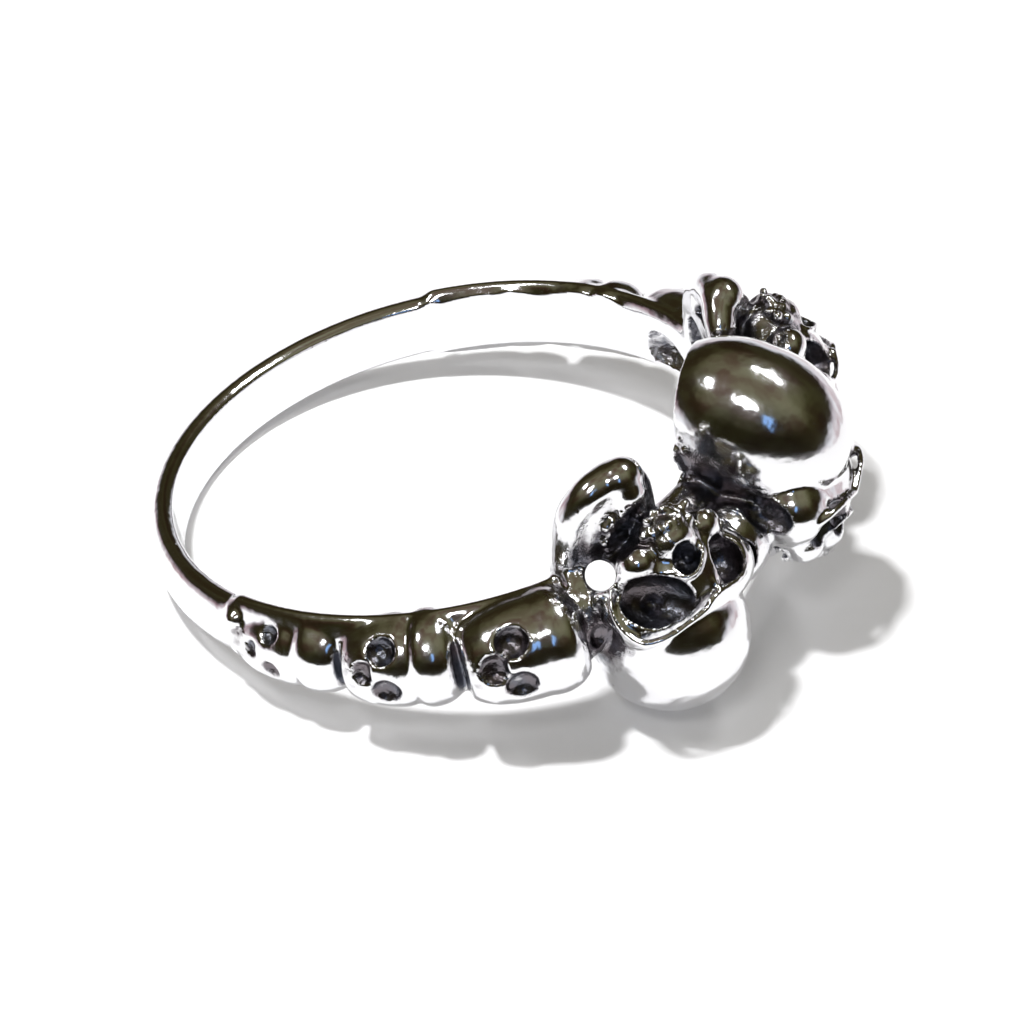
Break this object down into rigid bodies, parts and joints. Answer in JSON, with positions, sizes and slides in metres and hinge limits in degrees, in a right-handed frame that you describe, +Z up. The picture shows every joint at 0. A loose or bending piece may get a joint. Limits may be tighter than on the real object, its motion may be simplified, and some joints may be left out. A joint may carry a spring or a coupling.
{
  "type": "ring",
  "caption": "Cast silver finger ring: big skulls side by side at the front, smaller skulls along each shoulder and a half-round band at the back.",
  "frame": {"origin": "on the table, under the middle of the ring as it lies on its side", "axes": "+Z up from the table, +X towards the big skulls at the front, +Y across the finger hole; the finger axis leans back from +Z by about 11 degrees"},
  "size_m": [0.023, 0.0212, 0.0096],
  "materials": {
    "silver": "polished, oxidised in the recesses"
  },
  "bodies": {
    "root": {"ring": "silver"}
  },
  "joints": []
}
